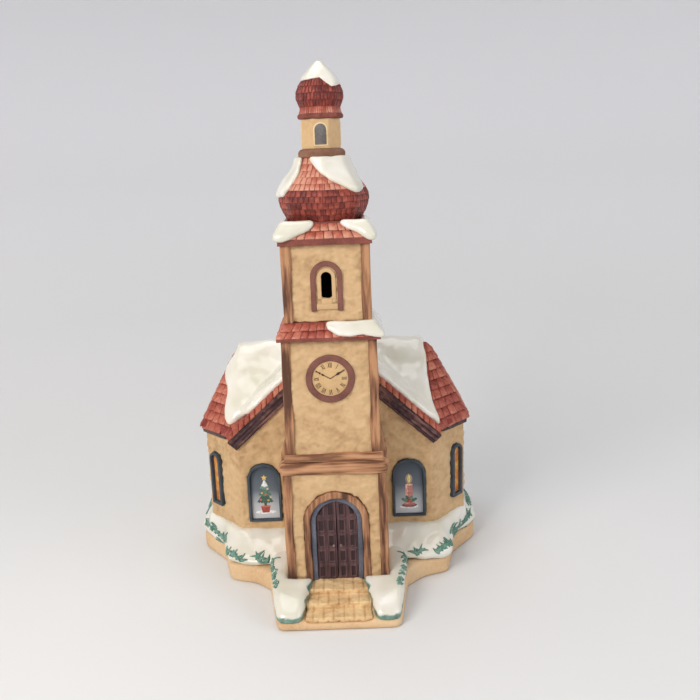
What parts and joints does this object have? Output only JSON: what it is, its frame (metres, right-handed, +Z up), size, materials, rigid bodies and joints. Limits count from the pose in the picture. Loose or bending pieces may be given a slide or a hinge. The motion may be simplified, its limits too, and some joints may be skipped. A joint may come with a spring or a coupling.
{
  "type": "ceramic village church",
  "caption": "Lit ceramic village church with a clock tower, a lift-off onion-domed steeple, snowy tiled roofs and a clip-in lamp.",
  "frame": {"origin": "middle of the plinth's rest face", "axes": "+Z up the tower, -Y out of the front door, +X to the right seen from the front"},
  "size_m": [0.1236, 0.116, 0.2051],
  "materials": {
    "bisque_walls": "matte bisque, rough stucco relief",
    "bisque_base": "matte bisque",
    "stone_steps": "matte bisque",
    "roof_tiles": "matte stained tiles",
    "snow_glaze": "glossy glaze",
    "timber_stain": "matte stain, hewn grain",
    "dark_timber": "matte dark stain",
    "brown_moulding": "matte stain",
    "grey_reveal": "matte stain",
    "door_stain": "satin stain",
    "knob_paint": "satin paint",
    "dial_paint": "matte",
    "hand_paint": "matte paint",
    "slate_frame": "satin paint",
    "picture_film": "printed translucent film",
    "amber_pane": "translucent film",
    "lamp_plastic": "moulded",
    "spring_steel": "bright",
    "lamp_brass": "bright",
    "bulb_glass": "clear"
  },
  "bodies": {
    "house": {"base_plinth": "bisque_base", "front_steps": "stone_steps", "ground_snow": "snow_glaze", "left_step_mound": "snow_glaze", "right_step_mound": "snow_glaze", "porch_walls": "bisque_walls", "door_surround": "brown_moulding", "door_reveal": "grey_reveal", "left_door_leaf": "door_stain", "right_door_leaf": "door_stain", "door_knobs": "knob_paint", "lower_ledge": "timber_stain", "upper_ledge": "timber_stain", "tower_walls": "bisque_walls", "tower_shoulders": "timber_stain", "tower_boards": "timber_stain", "porch_boards": "timber_stain", "clock_ring": "brown_moulding", "clock_dial": "dial_paint", "clock_hands": "hand_paint", "gable_walls": "bisque_walls", "back_wall": "bisque_walls", "left_end_walls": "bisque_walls", "right_end_walls": "bisque_walls", "left_window_frame": "slate_frame", "left_window_panel": "picture_film", "right_window_frame": "slate_frame", "right_window_panel": "picture_film", "side_window_frames": "slate_frame", "side_window_panes": "amber_pane", "nave_roof": "roof_tiles", "eaves_band": "dark_timber", "left_barge_board": "dark_timber", "right_barge_board": "dark_timber", "left_roof_snow": "snow_glaze", "right_roof_snow": "snow_glaze"},
    "steeple": {"skirt_roof": "roof_tiles", "belfry_walls": "bisque_walls", "belfry_boards": "timber_stain", "belfry_arches": "brown_moulding", "belfry_sills": "bisque_walls", "pent_roof": "roof_tiles", "main_dome": "roof_tiles", "lantern_ring": "timber_stain", "lantern_drum": "bisque_walls", "lantern_windows": "grey_reveal", "lantern_eave": "roof_tiles", "small_dome": "roof_tiles", "peak_snow": "snow_glaze", "skirt_snow": "snow_glaze", "left_pent_snow": "snow_glaze", "right_pent_snow": "snow_glaze", "left_dome_snow": "snow_glaze", "right_dome_snow": "snow_glaze"},
    "lamp": {"lamp_holder": "lamp_plastic", "lamp_clips": "spring_steel", "socket_shell": "lamp_brass", "centre_contact": "lamp_brass"},
    "bulb": {"bulb_cap": "lamp_brass", "bulb_glass": "bulb_glass"}
  },
  "joints": [
    {"name": "steeple_lift", "type": "slide", "parent": "house", "child": "steeple", "axis": [0, 0, 1], "range_m": [0, 0.06]},
    {"name": "lamp_pull", "type": "slide", "parent": "house", "child": "lamp", "axis": [0, 1, 0], "range_m": [0, 0.07]},
    {"name": "bulb_turn", "type": "hinge", "parent": "lamp", "child": "bulb", "pos_m": [0, 0.033, 0.038], "axis": [0, -1, 0], "range_deg": [0, 1080]}
  ]
}
